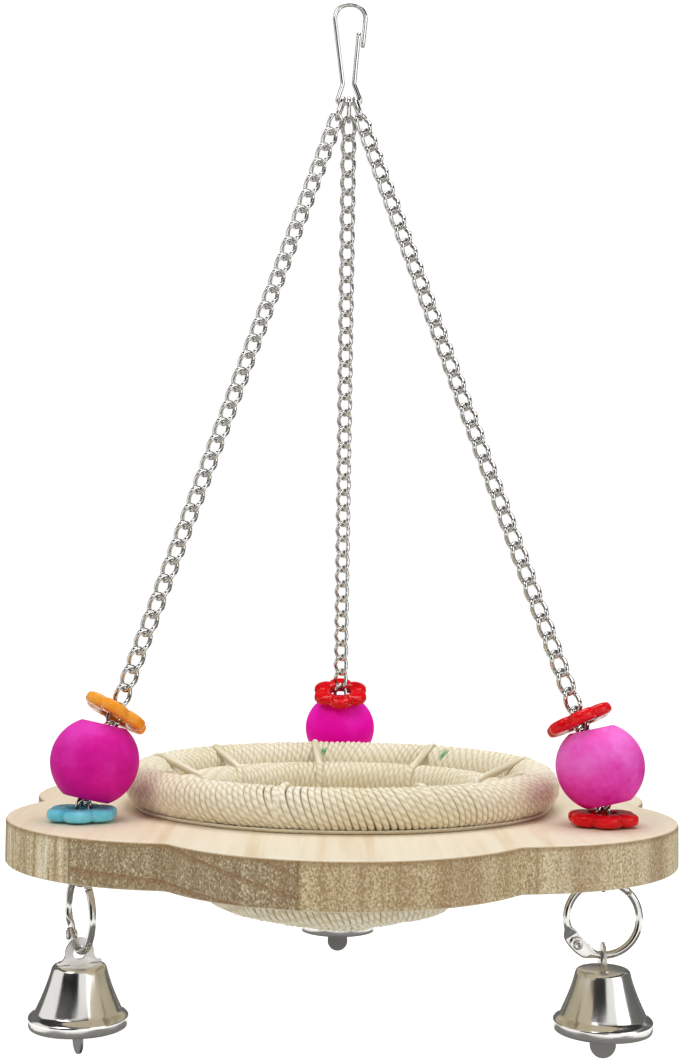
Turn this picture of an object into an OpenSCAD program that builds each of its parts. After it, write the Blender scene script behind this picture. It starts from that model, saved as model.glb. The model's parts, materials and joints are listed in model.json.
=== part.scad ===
// Hanging bird nest: a coiled cotton nest set in a flower-shaped pine board,
// hung from a wire snap hook on three twisted-link chains with beads and bells.
// The origin is the hook's hanging point, inside the top of its bow, with +Z up
// and the front of the nest towards -Y.

/* [Board] */
// Distance from the board's centre to the centre of each round lobe
lobe_offset = 38.8; // [36:0.2:42]
// Radius of each round lobe
lobe_r = 44; // [42:0.5:47]
// Radius of the soft valley between two lobes
valley_r = 4; // [1:0.5:8]
// Thickness of the board
board_t = 10; // [7:0.5:15]
// Distance from the wall of the nest's hole out to the middle of the rim's tube
rim_overhang = 2.2; // [1:0.1:3]
// Diameter of each chain hole
chain_hole_d = 7; // [6.6:0.1:8.5]
// Distance from the board's centre to each chain hole
station_r = 67.5; // [66:0.5:70]

/* [Hook] */
// Height of the hook's bar above the board
hang_h = 175.6; // [150:1:210]
// Diameter of the hook's wire
hook_wire = 1.05; // [0.9:0.05:1.2]
// Height of the hook from its bar to the top of its bow, on the wire's centre line
hook_h = 25.5; // [24:0.5:30]
// Width of the bow where its sides would meet the top
bow_w = 8.6; // [8.2:0.2:10]
// Radius of the two bends that make the bow
bow_bend_r = 3.6; // [2.5:0.1:3.7]
// Length of the bottom bar that carries the chains
bar_l = 6.4; // [6:0.1:7.5]
// Height of the narrow neck above the bar
neck_h = 5; // [4:0.25:6]
// Width of the neck between wire centres
neck_w = 2.85; // [2.6:0.05:3.2]
// Height of the sprung leg's tip above the bar
gate_h = 18.1; // [17:0.1:19]
// Height of the nose's tip above the bar
nose_h = 14.6; // [13.5:0.1:16]

/* [Chain] */
// Diameter of the link wire
link_wire = 1; // [0.8:0.05:1.05]
// Outer width of a link
link_w = 4.1; // [4:0.05:4.4]
// Wanted distance from link to link, fitted to a whole number of links
link_pitch = 4.5; // [4.3:0.1:5]
// Turn of each end of a link out of its middle plane, in degrees
link_twist = 35; // [30:1:40]
// Free gap between two linked wires
link_gap = 0.2; // [0.15:0.05:0.3]
// Distance between neighbouring chains on the hook's bar
bar_step = 1.7; // [1.65:0.05:1.8]
// Radius of the chain's bend above the board
bend_r = 12; // [8:1:16]

/* [Beads] */
// Diameter of the wooden balls
ball_d = 20; // [19:0.5:21]
// Diameter of the bore through a ball
ball_bore = 9; // [8.8:0.1:9.6]
// Outer diameter of a flower bead
flower_d = 16.2; // [14:0.2:18]
// Thickness of a flower bead
flower_t = 2.9; // [2.5:0.1:3.4]
// Radius of each petal
petal_r = 3.5; // [3:0.1:4]
// Diameter of the hole in a flower bead
flower_bore = 5.8; // [5.6:0.1:6.6]

/* [Book ring] */
// Outer diameter of the ring
ring_d = 18; // [17:0.5:20]
// Diameter of the ring's wire
ring_wire = 1.7; // [1.4:0.1:1.9]
// Gap between the board and the top of the ring
ring_drop = 1.5; // [1:0.1:3]
// Radius of the flattened lugs at the hinge
lug_r = 1.7; // [1.5:0.1:2]
// Thickness of each lug
lug_t = 0.7; // [0.5:0.05:0.8]
// Diameter of the rivet through the lugs
rivet_d = 1.2; // [1:0.1:1.4]
// Diameter of the rivet's heads
rivet_head_d = 2.2; // [1.9:0.1:2.6]
// Thickness of the rivet's heads
rivet_head_t = 0.4; // [0.3:0.05:0.6]
// Diameter of the snap pin at the other end
snap_d = 0.8; // [0.6:0.05:0.9]
// Length of the snap pin
snap_l = 1.3; // [1:0.1:1.6]

/* [Bell] */
// Diameter of the bell at its lip
bell_d = 22.2; // [20:0.2:24]
// Height of the bell's shell
bell_h = 13.6; // [12:0.2:16]
// Diameter of the bell's flat top, out to the corner that its shoulder rounds
bell_top_d = 11.6; // [11.2:0.2:13]
// Radius of the shoulder
shoulder_r = 1.2; // [0.8:0.1:1.6]
// Diameter at the foot of the straight cone
waist_d = 18.4; // [17:0.2:19]
// Height of the cone's foot above the lip
waist_h = 2.9; // [2:0.1:3.5]
// Thickness of the bell's sheet metal
bell_wall = 0.6; // [0.4:0.05:0.7]
// Thickness of the hanger and of the clapper
strip_t = 0.6; // [0.4:0.05:0.7]
// Width of the hanger's foot on the bell
tab_foot_w = 10.2; // [9.6:0.1:10.6]
// Height of the hanger's eye above the bell's top
tab_eye_h = 2.5; // [2.3:0.1:3]
// Diameter of the hanger's eye
tab_eye_d = 3; // [2.7:0.1:3.4]
// Outer radius of the hanger round its eye
tab_r = 3.3; // [2.9:0.1:3.6]
// Depth of the lower eye, which carries the clapper, below the bell's top
clapper_eye_depth = 3.6; // [3.4:0.1:4.5]
// Diameter of the two linked eyes that carry the clapper
clapper_eye_d = 2.8; // [2.7:0.1:3.2]
// Metal left round those eyes
eye_land = 0.9; // [0.7:0.05:1]
// Width of the clapper's round end
clapper_w = 5.8; // [5:0.1:6.4]
// Width of the clapper's stem
clapper_stem_w = 4; // [3:0.1:4.4]
// Length of clapper that shows below the lip
clapper_show = 6.1; // [3:0.1:8]

/* [Nest] */
// Distance from each chain hole in to the middle of the rim's tube
rim_room = 19.3; // [18.5:0.1:20]
// Diameter of the rim's tube
rim_tube = 10.6; // [10:0.1:11]
// Diameter of the coil's tube below the rim
coil_tube = 8.6; // [8:0.1:8.8]
// Step from one turn of the coil to the next along the bowl
coil_pitch = 9.3; // [9.2:0.1:9.6]
// Diameter of the tie cords that lash the coil to the rim
tie_d = 1.7; // [1.2:0.1:1.9]

/* [Clearances] */
// Gap between pieces that rest on each other
seat_gap = 0.25; // [0.15:0.05:0.3]
// Gap round the rivet and between its lugs
rivet_gap = 0.06; // [0.04:0.01:0.1]
// Gap round the hanger in the bell's slot
slot_gap = 0.2; // [0.1:0.05:0.3]
// Gap round the snap pin
snap_gap = 0.18; // [0.15:0.01:0.2]

/* [Hidden] */
$fn = 64;

lobe_count = 6;
petal_count = 6;

// The three stations, in the order left, right, back
sides = ["left", "right", "back"];
station_angle = [210, 330, 90];
chain_side = [-1, 1, 0];
// How each book ring is turned about the vertical
ring_turn = [-62, 0, 0];
// How far above the lower flower bead each chain bends to its slant
bend_rise = [0.6, 5.6, 4];
// How far each ball has slumped outwards on its chain, as a share of the free room
ball_slump = [0.9, 1, 0.8];
// Tilt of each ball and each upper flower bead from level
ball_tilt = [14, 14, 14];
flower_tilt = [33, 26, 24];

// Heights of the main levels
bar_z = hook_wire / 2 - hook_h;
board_z = bar_z - hang_h;
board_low_z = board_z - board_t;
ring_z = board_low_z - ring_drop - ring_d / 2;
ring_r = (ring_d - ring_wire) / 2;
tab_eye_z = ring_z - ring_r + ring_wire / 2 + link_gap - tab_eye_d / 2;
bell_top_z = tab_eye_z - tab_eye_h;

function unit(v) = v / norm(v);
function spot(a, r, z) = [r * cos(a), r * sin(a), z];
function ease(x) = x <= 0 ? 0 : x >= 1 ? 1 : x * x * (3 - 2 * x);

// Faces of a tube of rings, each ring with the same number of sides.
// A closed tube joins its last ring to its first, an open one has flat ends.
function tube_faces(rings, sides, closed) = concat(
    [for (i = [0 : rings - (closed ? 1 : 2)], j = [0 : sides - 1], half = [0, 1])
        let (a = i * sides + j,
             b = i * sides + (j + 1) % sides,
             c = ((i + 1) % rings) * sides + (j + 1) % sides,
             d = ((i + 1) % rings) * sides + j)
        half == 0 ? [a, b, c] : [a, c, d]],
    closed ? [] : [for (j = [1 : sides - 2]) [0, j + 1, j]],
    closed ? [] : [for (j = [1 : sides - 2]) (rings - 1) * sides * [1, 1, 1] + [0, j, j + 1]]);

// Points along straight runs whose corners are rounded, each corner as an arc of equal steps
function rounded_path(points, bends, steps) =
    let (last = len(points) - 1)
    [for (i = [0 : last])
        if (i == 0 || i == last) points[i]
        else
            let (a = unit(points[i] - points[i - 1]),
                 b = unit(points[i + 1] - points[i]),
                 turn = acos(a * b),
                 side = unit(b - (a * b) * a),
                 first = points[i] - a * bends[i] * tan(turn / 2))
            each [for (j = [0 : steps])
                first + bends[i] * (a * sin(turn * j / steps) + side * (1 - cos(turn * j / steps)))]];

// Points on an arc, from one angle to another in equal steps
function arc_path(centre, r, from, to, steps) =
    [for (j = [0 : steps])
        let (a = from + (to - from) * j / steps)
        centre + r * [cos(a), sin(a)]];

// A wire or cord swept along a flat path in the XZ plane
module swept_wire(path, d, sides) {
    last = len(path) - 1;
    points = [for (i = [0 : last])
        let (way = unit(path[min(i + 1, last)] - path[max(i - 1, 0)]),
             out = [way[1], 0, -way[0]])
        for (j = [0 : sides - 1])
            [path[i][0], 0, path[i][1]]
            + d / 2 * (out * cos(j * 360 / sides) + [0, 1, 0] * sin(j * 360 / sides))];
    polyhedron(points, tube_faces(len(path), sides, false));
}

// Station sizes: where a chain leaves the bar, bends and ends
chain_end_z = ring_z + ring_r - ring_wire / 2 - 2 * link_gap;
function bend_z(k) = board_z + seat_gap + flower_t + bend_rise[k];
function bar_point(k) = [chain_side[k] * bar_step, 0, bar_z];
function bend_point(k) = spot(station_angle[k], station_r, bend_z(k));
function chain_dir(k) = unit(bend_point(k) - bar_point(k));
function chain_start(k) = bar_point(k) - chain_dir(k) * (hook_wire / 2 + link_gap);
function chain_tilt(k) = acos(-chain_dir(k)[2]);

// A point along the chain: straight down the slant, round the bend, then upright
function bend_len(k) = bend_r * chain_tilt(k) * PI / 180;
function bend_reach(k) = bend_r * tan(chain_tilt(k) / 2);
function slant_len(k) = norm(bend_point(k) - chain_start(k)) - bend_reach(k);
function chain_len(k) = slant_len(k) + bend_len(k) + bend_z(k) - chain_end_z - bend_reach(k);
function chain_at(k, s) =
    let (d = chain_dir(k),
         side = unit([0, 0, -1] + d[2] * d),
         first = bend_point(k) - d * bend_reach(k),
         turn = (s - slant_len(k)) / bend_r * 180 / PI,
         below = s - slant_len(k) - bend_len(k))
    s <= slant_len(k) ? chain_start(k) + d * s
    : below <= 0 ? first + bend_r * (d * sin(turn) + side * (1 - cos(turn)))
    : bend_point(k) - [0, 0, bend_reach(k) + below];

// One link: a stadium of wire whose two bows are turned out of its middle plane.
// top and bottom are the inner ends, and the turns are measured from the X axis.
link_rings = 10;
link_sides = 5;
// The rings between a bow's sides and its crown stand this much outside the round, so the flats lie on it
bow_fullness = 1.06;
function link_points(top, bottom, turn_top, turn_bottom) =
    let (up = unit(top - bottom),
         e1 = unit([1, 0, 0] - up[0] * up),
         e2 = cross(up, e1),
         middle = (top + bottom) / 2,
         half_w = (link_w - link_wire) / 2,
         straight = norm(top - bottom) / 2 + link_wire / 2 - half_w,
         bow = 180 / (link_rings / 2 - 1),
         turn_mid = (turn_top + turn_bottom) / 2,
         turn_half = (turn_top - turn_bottom) / 2)
    [for (i = [0 : link_rings - 1])
        let (lower = i >= link_rings / 2,
             a = lower ? 180 + (i - link_rings / 2) * bow : i * bow,
             turn = turn_mid + turn_half * (lower ? -1 : 1),
             wide = e1 * cos(turn) + e2 * sin(turn),
             face = e2 * cos(turn) - e1 * sin(turn),
             bow_r = half_w * (a % 90 == 0 ? 1 : bow_fullness),
             p = middle + wide * bow_r * cos(a) + up * ((lower ? -straight : straight) + bow_r * sin(a)),
             out = wide * cos(a) + up * sin(a))
        for (j = [0 : link_sides - 1])
            p + link_wire / 2 * (out * cos(j * 360 / link_sides) + face * sin(j * 360 / link_sides))];

// Nest: its rim stands inside the chain holes, over the edge of the board's hole
rim_r = station_r - rim_room;
nest_hole_d = 2 * (rim_r - rim_overhang);
rim_z = board_z + seat_gap + rim_tube / 2;

// Coil: the bowl's section, followed from the top turn down to the middle.
// The first turn lies level and steps down near its end, and the lower ones wind in steadily.
bowl_section = [
    [rim_r - 9.5, 1.6], [rim_r - 10.4, -7], [rim_r - 14, -14.6], [rim_r - 20.5, -19.4], [4.5, -26.2]];
section_runs = [for (i = [1 : len(bowl_section) - 1]) norm(bowl_section[i] - bowl_section[i - 1])];
section_len = section_runs * [for (run = section_runs) 1];
coil_turns = section_len / coil_pitch;
coil_start_angle = 300;
coil_rings_per_turn = 24;
coil_sides = 6;
level_share = 0.6;
function section_at(s, i = 0) =
    let (run = norm(bowl_section[i + 1] - bowl_section[i]))
    i == len(bowl_section) - 2 || s <= run
    ? bowl_section[i] + (bowl_section[i + 1] - bowl_section[i]) * s / run
    : section_at(s - run, i + 1);
function coil_step(t) =
    let (n = floor(t),
         steady = ease((n - 0.5) / 2),
         stepped = ease((t - n - level_share) / (1 - level_share)))
    coil_pitch * (n + stepped * (1 - steady) + (t - n) * steady);
function coil_section(t) = section_at(coil_step(t)) + [0, board_z];
function coil_at(t) =
    let (p = coil_section(t))
    spot(coil_start_angle + 360 * t, p[0], p[1]);
function coil_ring(t) =
    let (dt = 0.01,
         along = unit(coil_at(min(t + dt, coil_turns)) - coil_at(max(t - dt, 0))),
         out = unit(cross(along, [0, 0, 1])),
         over = cross(out, along))
    [for (j = [0 : coil_sides - 1])
        coil_at(t) + coil_tube / 2 * (out * cos(j * 360 / coil_sides) + over * sin(j * 360 / coil_sides))];
coil_rings = ceil(coil_turns * coil_rings_per_turn) + 1;

// Least free gap between two turns of the coil, measured on points of its centre line
gap_steps = 72;
gap_skip = 48;
gap_points = [for (i = [0 : gap_steps * coil_turns]) coil_at(i / gap_steps)];
coil_self_gap = min([for (i = [0 : len(gap_points) - 1], j = [i + gap_skip : len(gap_points) - 1])
    norm(gap_points[i] - gap_points[j])]) - coil_tube;
echo(coil_self_gap = coil_self_gap);

// Beads: each ball leans on its chain at the top of its bore, and stands on the lower flower bead
ball_room = ball_bore / 2 - link_w / 2 - seat_gap;
ball_edge = asin(ball_bore / ball_d);
function ball_reach(angle_from_bore) = ball_d / 2 * cos(max(0, ball_edge - angle_from_bore));
function ball_axis(k) = spot(station_angle[k] + 180, sin(ball_tilt[k]), cos(ball_tilt[k]));
function on_slant(k, z) = bar_point(k) + chain_dir(k) * (z - bar_z) / chain_dir(k)[2];
function ball_centre(k) =
    let (half_bore = ball_d / 2 * cos(ball_edge) * ball_axis(k),
         z = board_z + flower_t + 2 * seat_gap + ball_reach(ball_tilt[k]))
    on_slant(k, z + half_bore[2]) + spot(station_angle[k], ball_slump[k] * ball_room, 0) - half_bore;
function flower_axis(k) = spot(station_angle[k] + 180, sin(flower_tilt[k]), cos(flower_tilt[k]));
function flower_centre(k) =
    let (a = flower_axis(k),
         d = chain_dir(k),
         away = ball_reach(flower_tilt[k] - ball_tilt[k]) + seat_gap + flower_t / 2)
    bar_point(k) + d * (away + (ball_centre(k) - bar_point(k)) * a) / (d * a);

// Book ring: the hinge and the snap, as angles round the ring from its right side
hinge_angle = 225;
snap_angle = 45;
ring_end_gap = 1;
lug_keep_out = 2 * asin((lug_r + seat_gap) / 2 / ring_r);

// Linked eyes inside the bell, measured down from the bell's top
tongue_low = -clapper_eye_depth - clapper_eye_d / 2 - eye_land;
clapper_eye_z = -clapper_eye_depth - clapper_eye_d + link_gap;
clapper_pivot_z = tongue_low + eye_land / 2;
tongue_w = clapper_eye_d + 2 * eye_land;

// Ties: lashings laid by hand round the rim, each from low outside the rim to the coil's inner side
tie_angle = [12, 58, 98, 132, 167, 210, 254, 291, 332];
tie_start = -40;
tie_end = 205;

wood = "#ead9b0";
cotton = "#efe6c8";
nickel = "#c9cacc";
magenta = "#d426b4";
upper_colour = ["#f08a1d", "#d81e28", "#d81e28"];
lower_colour = ["#5fb6d8", "#d81e28", "#f2c230"];

module snap_hook() {
    neck_shift = 0.22;
    nose_in = 1;
    gate_out = 1.1;
    neck_x = neck_w / 2;
    corner_bend = 0.8;
    neck_bend = 2;
    bend_steps = 5;
    hook_sides = 8;
    color(nickel) translate([0, 0, bar_z])
        swept_wire(
            rounded_path(
                [[bow_w / 2 - nose_in, nose_h],
                 [bow_w / 2, hook_h],
                 [-bow_w / 2, hook_h],
                 [-neck_x - neck_shift, neck_h],
                 [-bar_l / 2, 0],
                 [bar_l / 2, 0],
                 [neck_x - neck_shift, neck_h],
                 [neck_x - neck_shift + gate_out, gate_h]],
                [0, bow_bend_r, bow_bend_r, neck_bend, corner_bend, corner_bend, neck_bend, 0],
                bend_steps),
            hook_wire, hook_sides);
}

// The board's outline: arcs of the round lobes, joined by the arcs of the valleys between them
module board_outline() {
    lobe_steps = 18;
    valley_steps = 8;
    valley_angle = 180 / lobe_count;
    half_chord = lobe_offset * sin(valley_angle);
    valley_at = lobe_offset * cos(valley_angle)
        + sqrt((lobe_r + valley_r) * (lobe_r + valley_r) - half_chord * half_chord);
    lobe_centre = [lobe_offset, 0];
    valley_centre = valley_at * [cos(valley_angle), sin(valley_angle)];
    meet = atan2(valley_centre[1], valley_centre[0] - lobe_offset);
    lobe = arc_path(lobe_centre, lobe_r, -meet, meet, lobe_steps);
    valley = arc_path(valley_centre, valley_r, 180 + meet, 180 + 2 * valley_angle - meet, valley_steps);
    for_lobe = concat(lobe, [for (j = [1 : valley_steps - 1]) valley[j]]);
    polygon([for (i = [0 : lobe_count - 1], p = for_lobe)
        let (turn = 90 + i * 360 / lobe_count)
        [p[0] * cos(turn) - p[1] * sin(turn), p[0] * sin(turn) + p[1] * cos(turn)]]);
}

module platform() {
    hole_low_z = board_low_z - board_t;
    hole_h = 3 * board_t;
    color(wood) difference() {
        translate([0, 0, board_low_z]) linear_extrude(board_t) board_outline();
        translate([0, 0, hole_low_z]) cylinder(d = nest_hole_d, h = hole_h, $fn = 128);
        for (a = station_angle)
            translate(spot(a, station_r, hole_low_z)) cylinder(d = chain_hole_d, h = hole_h);
    }
}

module nest_rim() {
    color(cotton) translate([0, 0, rim_z])
        rotate_extrude($fn = 128) translate([rim_r, 0]) circle(d = rim_tube);
}

module nest_coil() {
    color(cotton) polyhedron(
        [for (i = [0 : coil_rings - 1]) each coil_ring(coil_turns * i / (coil_rings - 1))],
        tube_faces(coil_rings, coil_sides, false));
}

// A tie runs over the rim from outside and straight down to the coil's inner side
module tie_cords() {
    rim_path = rim_tube / 2 + seat_gap + tie_d / 2;
    coil_path = coil_tube / 2 + seat_gap + tie_d / 2;
    rim_spot = [rim_r, rim_z];
    tie_sides = 6;
    rim_steps = 8;
    coil_steps = 5;
    color(cotton) for (angle = tie_angle) {
        coil_spot = coil_section(((angle - coil_start_angle + 360) % 360) / 360);
        across = coil_spot - rim_spot;
        lean = (rim_path - coil_path) / norm(across);
        way = unit(across);
        off = way * lean + [way[1], -way[0]] * sqrt(1 - lean * lean);
        leave = atan2(off[1], off[0]);
        rotate(angle) swept_wire(
            concat(
                arc_path(rim_spot, rim_path, tie_start, leave, rim_steps),
                arc_path(coil_spot, coil_path, leave, tie_end, coil_steps)),
            tie_d, tie_sides);
    }
}

module chain(k) {
    count = round(chain_len(k) / link_pitch);
    step = chain_len(k) / count;
    hook_end_turn = 90;
    ring_end_turn = ring_turn[k] + 90;
    color(nickel) for (i = [0 : count - 1]) {
        top = chain_at(k, i * step);
        next = chain_at(k, (i + 1) * step);
        bottom = next + unit(next - top) * link_gap;
        plain = i == 0 ? hook_end_turn : ring_end_turn;
        ends = i == 0 || i == count - 1 ? [plain, plain] : [link_twist, -link_twist];
        polyhedron(link_points(top, bottom, ends[0], ends[1]), tube_faces(link_rings, link_sides, true));
    }
}

// A disc with a full round edge
module pill(r) {
    rotate_extrude() {
        translate([0, -flower_t / 2]) square([r - flower_t / 2, flower_t]);
        intersection() {
            translate([r - flower_t / 2, 0]) circle(d = flower_t);
            translate([0, -flower_t]) square([r + flower_t, 2 * flower_t]);
        }
    }
}

module flower() {
    difference() {
        union() {
            cylinder(r = flower_d / 2 - petal_r, h = flower_t, center = true);
            for (i = [0 : petal_count - 1])
                rotate(i * 360 / petal_count) translate([flower_d / 2 - petal_r, 0, 0]) pill(petal_r);
        }
        cylinder(d = flower_bore, h = 2 * flower_t, center = true);
    }
}

module upper_flower(k) {
    color(upper_colour[k]) translate(flower_centre(k))
        rotate([0, flower_tilt[k], station_angle[k] + 180]) flower();
}

module ball(k) {
    color(magenta) translate(ball_centre(k))
        rotate([0, ball_tilt[k], station_angle[k] + 180])
            difference() {
                sphere(d = ball_d);
                cylinder(d = ball_bore, h = 2 * ball_d, center = true);
            }
}

module lower_flower(k) {
    color(lower_colour[k]) translate(spot(station_angle[k], station_r, board_z + seat_gap + flower_t / 2))
        rotate(station_angle[k]) flower();
}

// The ring's own plane: X along its turn, Y up, and Z towards the viewer of its face
module in_ring(k) {
    translate(spot(station_angle[k], station_r, ring_z)) rotate([90, 0, ring_turn[k]]) children();
}

module ring_arc(from, to) {
    rotate(from) rotate_extrude(angle = to - from) translate([ring_r, 0]) circle(d = ring_wire);
}

// A flattened lug on the hinge, with the strap that runs on to the wire on one side of it
module lug(hand) {
    strap = ring_r * sin(lug_keep_out) + lug_r / 2;
    strap_w = 1.36;
    translate(ring_r * [cos(hinge_angle), sin(hinge_angle), 0])
        translate([0, 0, hand * (lug_t + rivet_gap) / 2]) {
            cylinder(r = lug_r, h = lug_t, center = true);
            rotate(hinge_angle + 90 * hand)
                translate([0, -strap_w / 2, -lug_t / 2]) cube([strap, strap_w, lug_t]);
        }
}

module rivet_hole() {
    translate(ring_r * [cos(hinge_angle), sin(hinge_angle), 0])
        cylinder(d = rivet_d + 2 * rivet_gap, h = 4 * lug_t, center = true);
}

// The snap pin along the ring's line, rooted in the upper half and reaching into the lower one
module snap_pin(gap) {
    root = 0.6;
    translate(ring_r * [cos(snap_angle), sin(snap_angle), 0])
        rotate([0, 90, snap_angle - 90])
            translate([0, 0, -root])
                cylinder(d = snap_d + 2 * gap, h = root + snap_l + 2 * gap);
}

module ring_upper_half(k) {
    color(nickel) in_ring(k) {
        difference() {
            union() {
                ring_arc(snap_angle + ring_end_gap, hinge_angle - lug_keep_out);
                lug(-1);
                snap_pin(0);
            }
            rivet_hole();
        }
    }
}

module ring_lower_half(k) {
    color(nickel) in_ring(k) difference() {
        union() {
            ring_arc(hinge_angle + lug_keep_out, snap_angle + 360);
            lug(1);
        }
        rivet_hole();
        snap_pin(snap_gap);
    }
}

module ring_rivet(k) {
    grip = 2 * lug_t + 3 * rivet_gap;
    color(nickel) in_ring(k)
        translate(ring_r * [cos(hinge_angle), sin(hinge_angle), 0]) {
            cylinder(d = rivet_d, h = grip, center = true);
            for (hand = [-1, 1])
                translate([0, 0, hand * (grip + rivet_head_t) / 2])
                    cylinder(d = rivet_head_d, h = rivet_head_t, center = true);
        }
}

// The bell's own frame: its top at the origin, X along the ring's turn
module in_bell(k) {
    translate(spot(station_angle[k], station_r, bell_top_z)) rotate(ring_turn[k]) children();
}

// Outline of the bell, from the middle of its top down to its lip
curve_steps = 6;
least_bend = 0.2;
function bell_outline(inset) =
    let (top_r = bell_top_d / 2 - inset,
         waist_r = waist_d / 2 - inset,
         lip_r = bell_d / 2 - inset,
         top_z = -inset,
         waist_z = waist_h - bell_h,
         slope = atan2(waist_r - top_r, top_z - waist_z),
         bend = max(shoulder_r - inset, least_bend),
         reach = bend * tan((90 - slope) / 2),
         flare = [for (i = [0 : curve_steps])
            let (a = 90 * i / curve_steps)
            [waist_r + (lip_r - waist_r) * (1 - cos(a)), waist_z - (waist_h - bell_wall) * sin(a)]])
    concat(
        [[0, top_z]],
        [for (i = [0 : curve_steps])
            let (a = 90 - (90 - slope) * i / curve_steps)
            [top_r - reach + bend * cos(a), top_z - bend + bend * sin(a)]],
        flare,
        [[lip_r, -bell_h]]);

module bell_shell(k) {
    outer = bell_outline(0);
    inner = bell_outline(bell_wall);
    color(nickel) in_bell(k) difference() {
        rotate_extrude($fn = 96)
            polygon(concat(outer, [for (i = [len(inner) - 1 : -1 : 0]) inner[i]]));
        translate([0, 0, -bell_wall])
            cube([strip_t + 2 * slot_gap, tongue_w + 2 * slot_gap, 4 * bell_wall], center = true);
    }
}

module bell_hanger(k) {
    foot_h = 0.5;
    flare_r = (tab_foot_w - 2 * tab_r) / 2;
    color(nickel) in_bell(k)
        rotate([90, 0, 90]) linear_extrude(strip_t, center = true)
            difference() {
                union() {
                    intersection() {
                        translate([0, tab_eye_h]) circle(tab_r);
                        translate([-tab_r, slot_gap / 2]) square([2 * tab_r, 2 * tab_r + tab_eye_h]);
                    }
                    difference() {
                        translate([-tab_foot_w / 2, slot_gap / 2]) square([tab_foot_w, foot_h + flare_r]);
                        for (hand = [-1, 1])
                            translate([hand * tab_foot_w / 2, slot_gap / 2 + foot_h + flare_r])
                                circle(flare_r);
                    }
                    translate([-tongue_w / 2, -clapper_eye_depth])
                        square([tongue_w, clapper_eye_depth + foot_h]);
                    translate([0, -clapper_eye_depth]) circle(d = tongue_w);
                }
                translate([0, tab_eye_h]) circle(d = tab_eye_d);
                translate([0, -clapper_eye_depth]) circle(d = clapper_eye_d);
            }
}

module bell_clapper(k) {
    low = -bell_h - clapper_show;
    color(nickel) in_bell(k)
        rotate([90, 0, 0]) linear_extrude(strip_t, center = true)
            difference() {
                union() {
                    translate([0, clapper_eye_z]) circle(d = tongue_w);
                    translate([-clapper_stem_w / 2, low + clapper_w / 2])
                        square([clapper_stem_w, clapper_eye_z - low - clapper_w / 2]);
                    translate([0, low + clapper_w / 2]) circle(d = clapper_w);
                }
                translate([0, clapper_eye_z]) circle(d = clapper_eye_d);
            }
}

snap_hook();
platform();
nest_rim();
nest_coil();
tie_cords();
for (k = [0 : 2]) {
    chain(k);
    upper_flower(k);
    ball(k);
    lower_flower(k);
    ring_upper_half(k);
    ring_lower_half(k);
    ring_rivet(k);
    bell_shell(k);
    bell_hanger(k);
    bell_clapper(k);
}
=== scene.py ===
import json
import math
from functools import partial

import bmesh
import bpy
import numpy as np
from mathutils import Matrix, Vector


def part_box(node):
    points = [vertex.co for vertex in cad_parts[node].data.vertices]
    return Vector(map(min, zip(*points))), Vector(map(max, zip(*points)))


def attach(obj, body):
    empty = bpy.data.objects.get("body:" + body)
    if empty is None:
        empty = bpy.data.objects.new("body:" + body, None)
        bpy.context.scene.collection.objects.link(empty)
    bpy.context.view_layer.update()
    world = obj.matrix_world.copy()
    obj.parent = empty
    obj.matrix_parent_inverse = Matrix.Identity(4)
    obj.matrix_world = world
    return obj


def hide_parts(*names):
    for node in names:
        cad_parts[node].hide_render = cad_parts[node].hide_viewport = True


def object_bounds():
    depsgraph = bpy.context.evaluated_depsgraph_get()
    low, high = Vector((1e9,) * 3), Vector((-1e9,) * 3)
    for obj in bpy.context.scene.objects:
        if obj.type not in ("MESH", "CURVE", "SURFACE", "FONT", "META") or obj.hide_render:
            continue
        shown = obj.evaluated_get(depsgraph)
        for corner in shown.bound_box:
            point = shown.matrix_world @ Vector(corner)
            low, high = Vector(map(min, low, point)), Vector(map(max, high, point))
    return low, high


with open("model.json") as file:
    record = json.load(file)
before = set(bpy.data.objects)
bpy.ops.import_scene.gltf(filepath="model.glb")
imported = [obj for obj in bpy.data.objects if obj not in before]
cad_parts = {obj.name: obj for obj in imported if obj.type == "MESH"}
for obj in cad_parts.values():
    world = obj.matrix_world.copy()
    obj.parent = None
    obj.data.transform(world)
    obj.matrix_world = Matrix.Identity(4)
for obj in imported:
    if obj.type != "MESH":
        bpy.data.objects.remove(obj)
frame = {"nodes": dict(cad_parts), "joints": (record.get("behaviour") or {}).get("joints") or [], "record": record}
cad_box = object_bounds()

# Lengths are in millimetres until a mesh is made. Places come from the frame's joints and boxes.
MM = 0.001
UP = np.array([0.0, 0.0, 1.0])
SIDES = ("left", "right", "back")
JOINTS = {j["name"]: (np.array(j["pos_m"]) / MM, np.array(j["axis"])) for j in frame["joints"]}


def node_box(node):
    """Lowest and highest corner of a node, in millimetres."""
    low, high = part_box(node)
    return np.array(low) / MM, np.array(high) / MM


def run_length(path):
    """Length along a path at each of its points."""
    return np.concatenate([[0], np.cumsum(np.linalg.norm(np.diff(path, axis=0), axis=1))])


BAR_Z = JOINTS["nest_swing"][0][2]
BOARD_LOW, BOARD_TOP = (corner[2] for corner in node_box("platform"))
STATION = {side: JOINTS["ring_swing_" + side][0] * [1, 1, 0] for side in SIDES}

# Board
LOBE_OFFSET, LOBE_R, VALLEY_R = 38.8, 44.0, 4.0
LOBES = 6
NEST_HOLE_R, CHAIN_HOLE_R = 46.0, 3.5
# The quarter round of its edges, the close row beside it, and how far the drill runs over
EDGE_EASE, EDGE_ROW, DRILL_OVERRUN = 0.7, 0.3, 2.0

# Hook
HOOK_WIRE, HOOK_H, BOW_W, BOW_BEND = 1.05, 25.5, 8.6, 3.6
BAR_L, NECK_H, NECK_W, GATE_H, NOSE_H = 6.4, 5.0, 2.85, 18.1, 14.6
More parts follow.
